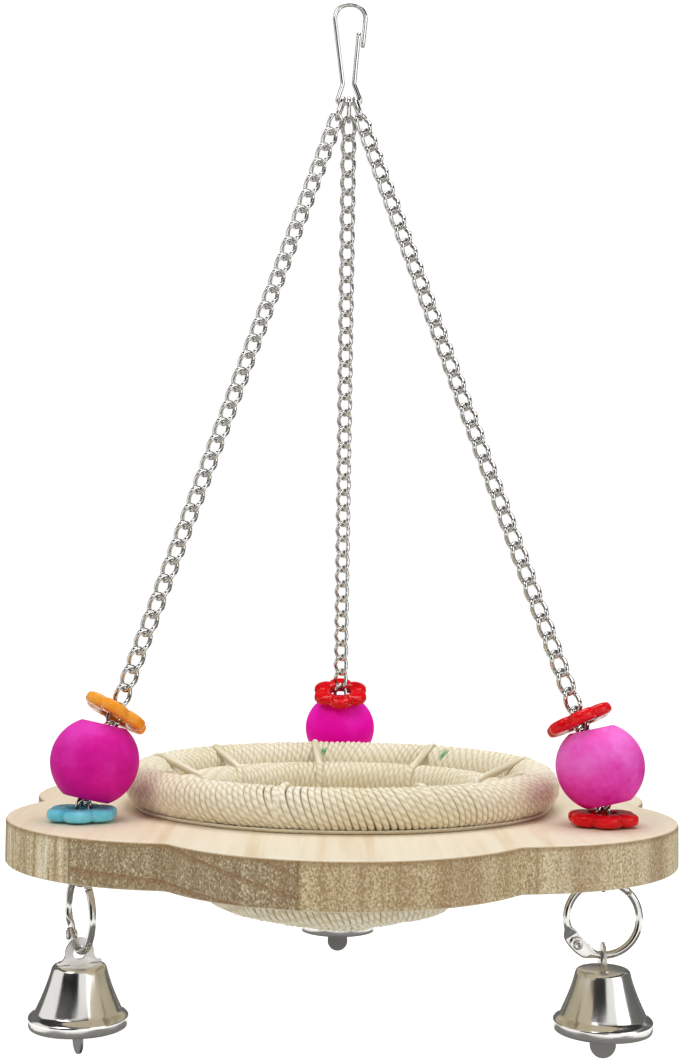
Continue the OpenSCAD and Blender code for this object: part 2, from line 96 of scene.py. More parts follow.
# How far the neck stands to the left, the nose leans in and the sprung leg leans out
NECK_SHIFT, NOSE_IN, GATE_OUT = 0.22, 1.0, 1.1
NECK_BEND, BAR_BEND = 2.0, 0.8

# Chain
LINK_WIRE, LINK_W, LINK_PITCH, LINK_TWIST, LINK_GAP = 1.0, 4.1, 4.5, 35.0, 0.2
CHAIN_BEND_R, BAR_STEP = 12.0, 1.7
BEND_RISE = {"left": 0.6, "right": 5.6, "back": 4.0}
CHAIN_SIDE = {"left": -1, "right": 1, "back": 0}

# Beads
BALL_R, BALL_BORE_R = 10.0, 4.5
FLOWER_R, FLOWER_T, PETAL_R, FLOWER_BORE_R = 8.1, 2.9, 3.5, 2.9
PETALS = 6
SEAT_GAP = 0.25
# A petal's fullness, the groove between two, and the dip in each, with their places
PETAL_POWER = 0.7
GROOVE_DEPTH, GROOVE_POWER, GROOVE_R, GROOVE_RUN = 0.14, 5, 3.6, 2.4
DIP_DEPTH, DIP_AT, DIP_R = 0.12, 5.6, 1.1
# How a ball's bore is eased (degrees, width, depth), and the shares of its radius taken off and in waves
EASE_ANGLE, EASE_W, EASE_H = 4, 0.2, 0.4
BALL_LESS, BALL_WAVE = 0.006, 0.004

# Book ring
RING_R, RING_WIRE = 8.15, 1.7
LUG_R, LUG_T, RIVET_GAP = 1.7, 0.7, 0.06
HINGE_ANGLE, SNAP_ANGLE = 225.0, 45.0
# Where the ring starts to flatten to a lug, and over what length; the gap of the snap in degrees
LUG_FROM, LUG_RUN, SNAP_GAP = 4.8, 2.8, 1.0
RIVET_HEAD_R, RIVET_HEAD_T, RIVET_R = 1.1, 0.4, 0.6

# Bell
BELL_R, BELL_H, BELL_TOP_R, SHOULDER_R = 11.1, 13.6, 5.8, 1.2
WAIST_R, WAIST_H, BELL_WALL = 9.6, 3.7, 0.6
SWELL_H, SWELL_POWER, CONE_HOLLOW, LIP_TUCK = 1.6, 1.4, 0.25, 0.25

# Nest
RIM_R, RIM_TUBE, COIL_TUBE, COIL_PITCH = 48.2, 10.6, 8.6, 9.3
# Half the share that the rim is thinner in front, and how far the coil's winding stands out
RIM_THIN, COIL_OUT = 0.05, 0.15
BOWL_SECTION = np.array([[38.7, 1.6], [37.8, -7.0], [34.2, -14.6], [27.7, -19.4], [1.0, -27.2]])
BOWL_RUN = run_length(BOWL_SECTION)
COIL_TURNS, COIL_START, LEVEL_SHARE = BOWL_RUN[-1] / COIL_PITCH, 300.0, 0.6
# For the first turns: how steadily each one moves in, and how much fuller it is where it would gape
TURN_STEADY, TURN_FULLER = (0.0, 0.25, 0.65, 1.0, 1.0), (0.6, 1.9, 2.1, 1.5, 0.0)
CORD_D = 1.7
RIM_WRAPS, COIL_WRAPS = 212, 646
# A wrap is pressed flat against its neighbours: half its height, and how much wider it is than high
WRAP_R, WRAP_SPREAD, WRAP_SIDES = 0.66, 1.16, 8
# Hand winding, as rows of (size, rate, start): how the wraps' lean, place and height drift
LEAN_DRIFT = ((0.25, 0.043, 0),)
PLACE_DRIFT = ((0.03, 0.37, 0), (0.08, 0.071, 2))
HEIGHT_DRIFT = ((0.012, 0.53, 1), (0.01, 0.157, 0))
# A rounded end takes this many wraps, and starts at this share of them
END_WRAPS, END_START = 2.5, 0.02
# Where wraps part and the core shows: azimuth, angle over the tube and size along the rim in degrees, how
# much longer a spot is over the tube, and how far out it is fully bare
BARE_SPOTS, SPOT_STRETCH, SPOT_FULL = ((96, 142, 1.0), (51.5, 138, 1.3)), 14, 0.4
# Ties: azimuth and lean of each in degrees, where they start, stop and are pressed in, and how deep
TIES = ((12, 0), (58, 0), (98, 2), (132, 11), (167, 3), (210, -2), (254, 2), (291, -2), (332, 2))
TIE_START, TIE_STOP, PRESS_STOP, PRESS_RUN, PRESS = -44, 242, 115, 50, 1.0
TIE_R, TIE_GAP, TIE_L = CORD_D / 2 + 0.1, 0.3, 36
# Foot cord: half its thickness, its lift off the board and its waves
FOOT_R, FOOT_LIFT, FOOT_WAVES = 0.4, 0.1, ((0.12, 9, 0), (0.08, 23, 0))


# Shapes

# A direction that no turned piece's axis has, a cap's flat share, and the merging distance in metres
ASIDE, CAP_FLAT, MERGE = (0.31, 0.95, 0.05), 0.8, 1e-7


def unit(v):
    """Vectors along the last axis, made one long."""
    return v / np.linalg.norm(v, axis=-1, keepdims=True)


def ease(x):
    """A smooth step from 0 to 1: 3x^2 - 2x^3, held at its ends."""
    x = np.clip(x, 0.0, 1.0)
    return x * x * (3.0 - 2.0 * x)


def waves(x, rows):
    """Size times sin(rate x + start), summed over rows of the three."""
    return sum(size * np.sin(rate * x + start) for size, rate, start in rows)


def squared(x, power):
    """x to a power with its sign kept: on a circle's sine and cosine, a power below 1 squares it off."""
    return np.sign(x) * np.abs(x) ** power


def along(path, closed=False):
    """Unit tangents of paths of shape (..., n, 3), from the difference of each point's neighbours."""
    if closed:
        return unit(np.roll(path, -1, axis=-2) - np.roll(path, 1, axis=-2))
    return unit(np.gradient(path, axis=-2))


def tube(path, radius, sides, across, closed=False, spread=1.0):
    """A round profile carried along a path: path + radius (out cos a + spread over sin a), where out is
    the across vector made square to the path. The radius may change along the path, and a spread
    above 1 flattens the profile."""
    way = along(path, closed)
    out = unit(across - np.sum(across * way, axis=-1, keepdims=True) * way)
    over = spread * np.cross(way, out)
    a = np.linspace(0, 2 * np.pi, sides, endpoint=False)
    ring = out[..., None, :] * np.cos(a)[:, None] + over[..., None, :] * np.sin(a)[:, None]
    return path[..., None, :] + np.asarray(radius)[..., None, None] * ring


def turned(profile, place, axis, steps):
    """A profile of (radius, height) rows turned round an axis through a place."""
    axis = unit(np.asarray(axis, float))
    first = unit(np.cross(axis, ASIDE))
    second = np.cross(axis, first)
    a = np.linspace(0, 2 * np.pi, steps, endpoint=False)
    spoke = first * np.cos(a)[:, None] + second * np.sin(a)[:, None]
    return place + profile[:, 0, None, None] * spoke + profile[:, 1, None, None] * axis


def arc(centre, radius, start, end, steps):
    """Points on an arc in a plane, from one angle to another, in degrees."""
    a = np.radians(np.linspace(start, end, steps + 1))
    return np.asarray(centre) + radius * np.stack([np.cos(a), np.sin(a)], axis=-1)


def polar(r, a, z):
    """Points at a radius, an angle round Z and a height."""
    return np.stack([r * np.cos(a), r * np.sin(a), z], axis=-1)


def rounded(points, bends, steps):
    """Straight runs whose corners are arcs: each corner is left a tangent length early and swept."""
    out = [points[:1]]
    for before, here, after, bend in zip(points, points[1:], points[2:], bends):
        a, b = unit(here - before), unit(after - here)
        turn = math.acos(float(a @ b))
        side = unit(b - (a @ b) * a)
        t = np.linspace(0, turn, steps + 1)[:, None]
        out.append(here - a * bend * math.tan(turn / 2) + bend * (a * np.sin(t) + side * (1 - np.cos(t))))
    return np.concatenate(out + [points[-1:]])


def spaced(path, step):
    """A path with points added on its straight runs, about a step apart, and its own points kept."""
    length = run_length(path)
    at = np.union1d(length, np.arange(0, length[-1], step))
    return np.stack([np.interp(at, length, path[:, k]) for k in range(path.shape[1])], axis=-1)


def capped(points):
    """A tube of shape (n, sides, 3) with a small chamfer and a flat closed cap on either end."""
    first, last = points[:1].mean(axis=1, keepdims=True), points[-1:].mean(axis=1, keepdims=True)
    return np.concatenate([first + 0 * points[:1], first + CAP_FLAT * (points[:1] - first), points,
                           last + CAP_FLAT * (points[-1:] - last), last + 0 * points[-1:]])


# Meshes

def grid_mesh(points, wrap_rows=False, cord=None, marks=None):
    """A mesh on one grid (rows, cols, 3) or on a stack of like grids (count, rows, cols, 3). Equal
    points are merged, which closes poles and caps, and faces are turned outwards. A cord's length gives
    it a UV along and round it, and marks, one number per point, are kept as the attribute mark."""
    points = points if points.ndim == 4 else points[None]
    count, rows, cols = points.shape[:3]
    # Row and column of each face's corners, before they wrap round
    i, j = np.meshgrid(np.arange(rows if wrap_rows else rows - 1), np.arange(cols), indexing="ij")
    i, j = i.ravel()[:, None] + [0, 0, 1, 1], j.ravel()[:, None] + [0, 1, 1, 0]
    faces = (i % rows) * cols + j % cols
    faces = (faces + np.arange(count)[:, None, None] * rows * cols).reshape(-1, 4)
    mesh = bpy.data.meshes.new("grid")
    mesh.vertices.add(count * rows * cols)
    mesh.vertices.foreach_set("co", (points * MM).ravel())
    mesh.loops.add(faces.size)
    mesh.loops.foreach_set("vertex_index", faces.ravel())
    mesh.polygons.add(len(faces))
    mesh.polygons.foreach_set("loop_start", np.arange(0, faces.size, 4))
    mesh.update(calc_edges=True)
    if cord is not None:
        uv = np.stack([i / rows * cord, j / cols * (2 * PLY_STEP)], axis=-1)
        mesh.uv_layers.new(name="UVMap").data.foreach_set("uv", np.tile(uv.ravel(), count))
    if marks is not None:
        mesh.attributes.new("mark", "FLOAT", "POINT").data.foreach_set("value", marks)
    work = bmesh.new()
    work.from_mesh(mesh)
    bmesh.ops.remove_doubles(work, verts=work.verts, dist=MERGE)
    bmesh.ops.recalc_face_normals(work, faces=work.faces)
    work.to_mesh(mesh)
    work.free()
    mesh.polygons.foreach_set("use_smooth", np.ones(len(mesh.polygons), bool))
    return mesh


def new_object(name, data):
    """An object made of its data, linked to the scene."""
    made = bpy.data.objects.new(name, data)
    bpy.context.scene.collection.objects.link(made)
    return made


def place_piece(name, mesh, body, slot, material, *nodes):
    """Makes a mesh a piece of the object: it rides on a body and stands for the nodes named."""
    mesh.name = name
    piece = new_object(name, mesh)
    mesh.materials.append(material)
    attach(piece, body)
    if nodes:
        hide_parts(*nodes)


# Materials

# A mix node's sockets for colours: its factor, the two colours, and the result
FACTOR, BASE, OVER, MIXED = 0, 6, 7, 2


def srgb(code):
    """A hex colour as linear red, green, blue and alpha."""
    c = np.array([int(code[k:k + 2], 16) for k in (1, 3, 5)]) / 255
    return (*np.where(c <= 0.04045, c / 12.92, ((c + 0.055) / 1.055) ** 2.4), 1.0)


def feed(node, inputs):
    """Fills a node's input sockets: another node's output socket is linked, and a value is set."""
    for key, value in inputs.items():
        if isinstance(value, bpy.types.NodeSocket):
            node.id_data.links.new(value, node.inputs[key])
        else:
            node.inputs[key].default_value = value


def add(tree, kind, inputs=None, out=0, span=(), stops=(), **settings):
    """One node. Its kind may name an operation too. Span is a map range's From Min, From Max, To Min and
    To Max, stops are the (place, colour) rows of a colour ramp, and settings go on the node. Returns
    the output socket that out names, or all of them where it is None."""
    kind, _, operation = kind.partition(" ")
    node = tree.nodes.new("ShaderNode" + kind)
    if operation:
        node.operation = operation
    for key, value in settings.items():
        setattr(node, key, value)
    for k, (place, code) in enumerate(stops):
        stop = node.color_ramp.elements[k] if k < 2 else node.color_ramp.elements.new(place)
        stop.position, stop.color = place, srgb(code)
    feed(node, dict(zip(("From Min", "From Max", "To Min", "To Max"), span)))
    feed(node, inputs or {})
    return node.outputs if out is None else node.outputs[out]


def new_material(name):
    """A material, the adding function for its nodes, and its main shader."""
    material = bpy.data.materials.new(name)
    material.use_nodes = True
    tree = material.node_tree
    return material, partial(add, tree), tree.nodes["Principled BSDF"]


def per_mm(size):
    """Texture scale on Object coordinates, in metres, for a feature of a size in millimetres."""
    return 1 / (size * MM)


def nickel_plate(name, low_rough, high_rough, shade):
    """Bright nickel plate on steel wire or sheet, tumbled: clear reflections, broken by faint
    clouding about 4 mm wide and by fine scratches."""
    material, node, shader = new_material(name)
    place = node("TexCoord", out="Object")
    cloud = node("TexNoise", {"Vector": place, "Scale": per_mm(4), "Detail": 3})
    rough = node("MapRange", {"Value": cloud}, span=(0.3, 0.7, low_rough, high_rough))
    grit = node("TexNoise", {"Vector": place, "Scale": per_mm(0.5)})
    bump = node("Bump", {"Height": grit, "Strength": 0.04, "Distance": 0.1 * MM})
    feed(shader, {"Base Color": srgb(shade), "Metallic": 1, "Roughness": rough, "Normal": bump})
    return material


def glossy_bead(name, deep, pale):
    """Moulded translucent plastic, tumbled to a gloss: its colour drifts a little in flows 5 mm wide,
    and its skin is slightly wavy."""
    material, node, shader = new_material(name)
    place = node("TexCoord", out="Object")
    flow = node("TexNoise", {"Vector": place, "Scale": per_mm(5)})
    colour = node("ValToRGB", {0: flow}, stops=((0.3, deep), (0.7, pale)))
    wave = node("TexNoise", {"Vector": place, "Scale": per_mm(1.8), "Detail": 1})
    bump = node("Bump", {"Height": wave, "Strength": 0.08, "Distance": 0.3 * MM})
    feed(shader, {"Base Color": colour, "Normal": bump, "Roughness": 0.12, "Specular IOR Level": 0.22,
                  "Subsurface Weight": 0.08, "Subsurface Radius": (1.0, 0.4, 0.3), "Subsurface Scale": MM})
    return material


def dyed_wood(name, side, deep, middle, pale):
    """Turned softwood dyed in a bath: the dye takes a little unevenly in patches of 9 mm, grain lines
    of 1.2 mm show as faint streaks, and the surface is dull with small cracks. The colour is also
    painted darker towards the ball's foot and lighter towards its top, a painted shade of light from above."""
    material, node, shader = new_material(name)
    place = node("TexCoord", out="Object")
    patch_and_shade = node("TexNoise", {"Vector": place, "Scale": per_mm(9), "Detail": 3})
    # Painted shade: the colour runs darker towards the ball's foot and lighter towards its top
    foot = (JOINTS["ball_spin_" + side][0][2] - BALL_R) * MM
    height = node("SeparateXYZ", {"Vector": place}, "Z")
    height = node("MapRange", {"Value": height}, span=(foot, foot + 2 * BALL_R * MM, -0.25, 0.25))
    patch_and_shade = node("Math MULTIPLY_ADD", {0: patch_and_shade, 1: 0.7, 2: height})
    along_grain = node("Mapping", {"Vector": place, "Scale": (1.0, 0.25, 1.0)})
    grain = node("TexNoise", {"Vector": along_grain, "Scale": per_mm(1.2), "Detail": 4})
    both = node("Math MULTIPLY_ADD", {0: grain, 1: 0.2, 2: patch_and_shade})
    colour = node("ValToRGB", {0: both}, stops=((0.2, deep), (0.45, middle), (0.7, pale)))
    crack = node("TexVoronoi", {"Vector": place, "Scale": per_mm(6)}, feature="DISTANCE_TO_EDGE")
    groove = node("MapRange", {"Value": crack}, span=(0.0, 0.03, 0.6, 1.0))
    relief = node("Math MULTIPLY", {0: groove, 1: grain})
    bump = node("Bump", {"Height": relief, "Strength": 0.25, "Distance": 0.25 * MM})
    feed(shader, {"Base Color": colour, "Normal": bump, "Roughness": 0.5, "Specular IOR Level": 0.06})
    return material


# A wave texture of scale 1 repeats every pi / 5, so this over a step gives bands one step apart
BAND_SCALE = math.pi / 5
# The UV of a cord is in millimetres along it, and two ply steps round it
PLY_STEP = 2.0


def cotton_cord(name, shadow, deep, pale, core):
    """Undyed cotton cord of two twisted plies: the UV runs along the cord and round it, so the plies
    show as slanted ridges 2 mm apart, and loose fibres scatter light as a faint sheen. Painted shade in
    the shadow colour lies on the cord's flanks, in the folds between wraps, and in the lay between its
    plies. Where the attribute mark is 1 the hoop's coloured core shows through."""
    material, node, shader = new_material(name)
    coords = node("TexCoord", out=None)
    place, on_cord = coords["Object"], coords["UV"]
    ply = node("TexWave", {"Vector": on_cord, "Scale": BAND_SCALE / PLY_STEP, "Distortion": 2.2,
                           "Detail Scale": 0.7}, "Fac", bands_direction="DIAGONAL")
    fibre = node("TexNoise", {"Vector": place, "Scale": per_mm(0.45), "Detail": 3})
    drift = node("TexNoise", {"Vector": place, "Scale": per_mm(14)})
    height = node("Math MULTIPLY_ADD", {0: ply, 1: 0.5, 2: fibre})
    shade = node("Math MULTIPLY_ADD", {0: drift, 1: 1.2, 2: height})
    tone = node("MapRange", {"Value": shade}, span=(0.7, 1.9))
    yarn = node("ValToRGB", {0: tone}, stops=((0.0, deep), (1.0, pale)))
    round_cord = node("SeparateXYZ", {"Vector": on_cord}, "Y")
    turn = node("Math MULTIPLY", {0: round_cord, 1: math.pi / PLY_STEP})
    outward = node("Math COSINE", {0: turn})
    # Painted shade: the shadow colour darkens the cord's flanks, where wraps press together, and the lay between
    # its plies
    fold_shade = node("MapRange", {"Value": outward}, span=(0.1, 0.9, 0.55, 0.0))
    lay = node("MapRange", {"Value": ply}, span=(0.0, 0.5, 0.32, 0.0))
    painted_shade = node("Math MAXIMUM", {0: fold_shade, 1: lay})
    mark = node("Attribute", out="Fac", attribute_name="mark")
    for factor, code in ((painted_shade, shadow), (mark, core)):
        yarn = node("Mix", {FACTOR: factor, BASE: yarn, OVER: srgb(code)}, MIXED, data_type="RGBA")
    bump = node("Bump", {"Height": height, "Strength": 0.6, "Distance": 0.25 * MM})
    feed(shader, {"Base Color": yarn, "Normal": bump, "Roughness": 0.9, "Sheen Weight": 0.25})
    return material


# One nickel plating in lit and shaded copies: the bell's colour is painted lighter, a painted reflection, the
# wire's and the strip's painted darker, a painted shade, and the clapper's darker still, partly a duller finish
# and partly painted shade
SHADED_NICKEL_WIRE = nickel_plate("nickel_plated_wire", 0.08, 0.16, "#cfcdc9")
LIT_NICKEL_SHELL = nickel_plate("nickel_plated_bell_metal", 0.12, 0.2, "#e2e0dc")
SHADED_NICKEL_STRIP = nickel_plate("nickel_plated_strip", 0.25, 0.36, "#c4c2bf")
DULL_SHADED_NICKEL_CLAPPER = nickel_plate("dull_nickel_plated_strip", 0.4, 0.5, "#8a8885")
# The cotton's first colour is painted shade for the folds between wraps and the lay between plies
COTTON = cotton_cord("undyed_cotton_cord", "#ae9764", "#e8dbb6", "#faf4e2", "#2f9a56")
MAGENTA = {side: dyed_wood(tint + "magenta_dyed_softwood", side, *dyes) for side, tint, *dyes in (
    ("left", "", "#c4068a", "#dc1c9c", "#e43cb8"),
    ("right", "pale_", "#d20c92", "#ee4cba", "#f67cda"),
    ("back", "deep_", "#f800b0", "#ff08bc", "#ff28cc"))}
BEADS = {
    "orange_plastic": glossy_bead("orange_moulded_plastic", "#ff9214", "#ffb244"),
    "red_plastic": glossy_bead("red_moulded_plastic", "#cc060e", "#f01820"),
    "blue_plastic": glossy_bead("sky_blue_moulded_plastic", "#58c0dc", "#8fe6f8"),
    "yellow_plastic": glossy_bead("yellow_moulded_plastic", "#e0a818", "#f6cf4e"),
}

# Board strips: the first glue line's place and the strips' width
FIRST_LINE, STRIP_W = -57.6, 48.6


def pine():
    """Edge-glued pine strips, 48.6 mm wide, with a sanded face and a sawn edge. The face is pale with
    faint streaks along Y. The edge is end grain: torn fibres drawn 0.45 mm wide, so that they show, and
    brown stains 9 mm wide. On the strip left of the first line it has upright saw streaks, and on the
    next one growth lines, sharp above and fading brown below, that slope down to the right. The two
    middle strips are duller."""
    material, node, shader = new_material("edge_glued_pine")
    place = node("TexCoord", out="Object")
    in_mm = node("VectorMath SCALE", {0: place, "Scale": 1 / MM})
    axis = node("SeparateXYZ", {"Vector": in_mm}, None)
    run = node("Math SUBTRACT", {0: axis["X"], 1: FIRST_LINE})
    depth = node("Math SUBTRACT", {0: BOARD_TOP, 1: axis["Z"]})
    share = node("Math DIVIDE", {0: run, 1: STRIP_W})
    strip = node("Math FLOOR", {0: share})
    ringed = node("Math COMPARE", {0: strip, 1: 0.0, 2: 0.5})
    streaked = node("Math LESS_THAN", {0: strip, 1: 0.0})
    to_line = node("Math PINGPONG", {0: run, 1: STRIP_W / 2})
    glue = node("MapRange", {"Value": to_line}, span=(0.2, 0.6, 0.35, 0.0))
    # Growth lines: depth below a bowed line, over a spacing that narrows to the right
    rise = node("Math MULTIPLY_ADD", {0: run, 1: 0.0012, 2: 0.045})
    bow = node("Math MULTIPLY_ADD", {0: rise, 1: run, 2: 6.1})
    below = node("Math SUBTRACT", {0: depth, 1: bow})
    spacing = node("Math MULTIPLY_ADD", {0: run, 1: -0.135, 2: 10.4})
    rings = node("Math DIVIDE", {0: below, 1: spacing})
    phase = node("Math FRACT", {0: rings})
    late = node("MapRange", {"Value": phase}, span=(0.0, 0.26, 0.7, 0.0), interpolation_type="SMOOTHSTEP")
    late = node("Math MULTIPLY", {0: late, 1: ringed})
    # Face
    lengthways = node("Mapping", {"Vector": place, "Scale": (1.0, 0.05, 1.0)})
    streak = node("TexNoise", {"Vector": lengthways, "Scale": per_mm(3.5), "Detail": 4, "Roughness": 0.6})
    streak = node("Math MULTIPLY_ADD", {0: late, 1: 0.15, 2: streak})
    face = node("ValToRGB", {0: streak}, stops=((0.3, "#ede3cd"), (0.52, "#e9dcc2"), (0.8, "#dcc4a0")))
    blush = node("TexNoise", {"Vector": place, "Scale": per_mm(38)})
    warm = node("MapRange", {"Value": blush}, span=(0.45, 0.75, 0.0, 0.5))
    face = node("Mix", {FACTOR: warm, BASE: face, OVER: srgb("#e6cbb0")}, MIXED, data_type="RGBA")
    # Edge
    upright = node("Mapping", {"Vector": place, "Scale": (1.0, 1.0, 0.8)})
    torn = node("TexNoise", {"Vector": upright, "Scale": per_mm(0.45), "Roughness": 0.6})
    column = node("Mapping", {"Vector": place, "Scale": (1.0, 1.0, 0.04)})
    saw = node("TexNoise", {"Vector": column, "Scale": per_mm(1.8), "Detail": 3})
    saw = node("Math SUBTRACT", {0: saw, 1: 0.5})
    cut = node("Math ADD", {0: streaked, 1: 0.3})
    inner = node("Math COMPARE", {0: strip, 1: 0.5, 2: 1.0})
    dull = node("Math MULTIPLY_ADD", {0: inner, 1: -0.08, 2: torn})
    tone = node("Math MULTIPLY_ADD", {0: saw, 1: cut, 2: dull})
    tone = node("MapRange", {"Value": tone}, span=(0.3, 0.7))
    grey = node("ValToRGB", {0: tone}, stops=((0.0, "#8f7858"), (0.5, "#c0ac84"), (1.0, "#fff4d8")))
    beige = node("ValToRGB", {0: tone}, stops=((0.0, "#ad9264"), (0.5, "#dfcaa0"), (1.0, "#faf0d4")))
    edge = node("Mix", {FACTOR: ringed, BASE: beige, OVER: grey}, MIXED, data_type="RGBA")
    stain = node("TexNoise", {"Vector": column, "Scale": per_mm(9)})
    stain = node("MapRange", {"Value": stain}, span=(0.5, 0.72, 0.0, 0.4))
    brown = node("Math MAXIMUM", {0: stain, 1: late})
    arris = node("MapRange", {"Value": depth}, span=(0.5, 1.5, 0.7, 0.0))
    for factor, code in ((brown, "#966a42"), (arris, "#9c7a4a"), (glue, "#7a5c3a")):
        edge = node("Mix", {FACTOR: factor, BASE: edge, OVER: srgb(code)}, MIXED, data_type="RGBA")
    # The face is where the height is half the board's thickness from its middle
    half = (BOARD_TOP - BOARD_LOW) / 2
    level = node("Math SUBTRACT", {0: depth, 1: half})
    level = node("Math ABSOLUTE", {0: level})
    is_face = node("MapRange", {"Value": level}, span=(half - 0.4, half - 0.1))
    colour = node("Mix", {FACTOR: is_face, BASE: edge, OVER: face}, MIXED, data_type="RGBA")
    deep = node("MapRange", {"Value": is_face}, span=(0.0, 1.0, 1.0, 0.06))
    relief = node("Math MULTIPLY", {0: tone, 1: deep})
    bump = node("Bump", {"Height": relief, "Strength": 0.6, "Distance": 0.4 * MM})
    feed(shader, {"Base Color": colour, "Normal": bump, "Roughness": 0.62})
    return material


PINE = pine()


# Board

def board_outline():
    """The board's outline: arcs of six round lobes joined by the arcs of the valleys between them."""
    half = math.pi / LOBES
    reach = math.sqrt((LOBE_R + VALLEY_R) ** 2 - (LOBE_OFFSET * math.sin(half)) ** 2)
    valley = (LOBE_OFFSET * math.cos(half) + reach) * np.array([math.cos(half), math.sin(half)])
    meet = math.degrees(math.atan2(valley[1], valley[0] - LOBE_OFFSET))
    lobe = arc((LOBE_OFFSET, 0), LOBE_R, -meet, meet, 60)
    dip = arc(valley, VALLEY_R, 180 + meet, 180 + 360 / LOBES - meet, 16)[1:-1]
    one = np.concatenate([lobe, dip])
    turn = np.radians(90 + np.arange(LOBES) * 360 / LOBES)[:, None]
    x = one[:, 0] * np.cos(turn) - one[:, 1] * np.sin(turn)
    y = one[:, 0] * np.sin(turn) + one[:, 1] * np.cos(turn)
    return np.stack([x.ravel(), y.ravel()], axis=-1)


def board_section():
    """Rows of (share of the way from bore to outline, inset from either, height) round the board's
    section: each edge is a quarter round, with a close row beside it that keeps the face flat."""
    q = np.radians(np.linspace(0, 90, 5))
    inset, drop = EDGE_EASE * (1 - np.cos(q)), EDGE_EASE * (1 - np.sin(q))
    beside = EDGE_EASE + EDGE_ROW
    bottom = np.stack([inset, BOARD_LOW + drop], axis=-1)
    top = np.stack([inset, BOARD_TOP - drop], axis=-1)
    wall = np.array([[0, BOARD_LOW + beside], [0, BOARD_TOP - beside]])
    side = np.concatenate([[[beside, BOARD_LOW]], bottom[::-1], wall, top, [[beside, BOARD_TOP]]])
    return np.concatenate([np.insert(side, 0, 0, axis=1), np.insert(side[::-1], 0, 1, axis=1)])


def board_mesh():
    """The board's section carried round its outline, with the three chain holes cut out of it."""
    outer = board_outline()
    way = along(outer, closed=True)
    outward = np.stack([way[:, 1], -way[:, 0]], axis=-1)
    spoke = unit(outer)
    share, inset, height = board_section().T[:, :, None, None]
    flat = np.where(share > 0, outer - outward * inset, spoke * (NEST_HOLE_R + inset))
    points = np.concatenate([flat, np.broadcast_to(height, flat[..., :1].shape)], axis=-1)
    board = new_object("board_blank", grid_mesh(points, wrap_rows=True))
    low, high = BOARD_LOW - DRILL_OVERRUN, BOARD_TOP + DRILL_OVERRUN
    drill = np.array([[0, low], [CHAIN_HOLE_R, low], [CHAIN_HOLE_R, high], [0, high]])
    holes = np.stack([turned(drill, STATION[side], UP, 48) for side in SIDES])
    cutter = new_object("drill", grid_mesh(holes))
    cut = board.modifiers.new("chain_holes", "BOOLEAN")
    cut.object = cutter
    cut.solver = "EXACT"
    done = bpy.data.meshes.new_from_object(board.evaluated_get(bpy.context.evaluated_depsgraph_get()))
    for blank in (board, cutter):
        bpy.data.objects.remove(blank)
    done.set_sharp_from_angle(angle=math.radians(50))
    return done


# Hook and chains

def hook_mesh():
    """Round wire carried along the hook's bends: nose, bow, neck, bar and sprung leg."""
    bow, neck, bar = BOW_W / 2, NECK_W / 2, BAR_L / 2
    points = np.array([
        [bow - NOSE_IN, NOSE_H], [bow, HOOK_H], [-bow, HOOK_H], [-neck - NECK_SHIFT, NECK_H], [-bar, 0],
        [bar, 0], [neck - NECK_SHIFT, NECK_H], [neck - NECK_SHIFT + GATE_OUT, GATE_H]])
    bends = [BOW_BEND, BOW_BEND, NECK_BEND, BAR_BEND, BAR_BEND, NECK_BEND]
    flat = spaced(rounded(points, bends, steps=12), step=1.0)
    path = np.column_stack([flat[:, 0], 0 * flat[:, 0], flat[:, 1] + BAR_Z])
    return grid_mesh(capped(tube(path, HOOK_WIRE / 2, 16, np.array([0.0, 1.0, 0.0]))))


def chain_line(side):
    """Link ends along a chain: down the slant from the hook's bar, round the bend above the board, then
    straight down to the book ring. The length is shared out in whole links."""
    bar = np.array([CHAIN_SIDE[side] * BAR_STEP, 0, BAR_Z])
    bend = STATION[side] + UP * (BOARD_TOP + SEAT_GAP + FLOWER_T + BEND_RISE[side])
    d = unit(bend - bar)
    start = bar - d * (HOOK_WIRE / 2 + LINK_GAP)
    tilt = math.acos(-d[2])
    reach, bend_len = CHAIN_BEND_R * math.tan(tilt / 2), CHAIN_BEND_R * tilt
    slant = np.linalg.norm(bend - start) - reach
    end = JOINTS["ring_swing_" + side][0][2] - RING_WIRE / 2 - 2 * LINK_GAP
    total = slant + bend_len + bend[2] - end - reach
    s = np.linspace(0, total, round(total / LINK_PITCH) + 1)[:, None]
    turn, below = (s - slant) / CHAIN_BEND_R, s - slant - bend_len
    curve = bend - d * reach + CHAIN_BEND_R * (d * np.sin(turn) + unit(d[2] * d - UP) * (1 - np.cos(turn)))
    return np.where(s <= slant, start + d * s, np.where(below <= 0, curve, bend - UP * (reach + below)))


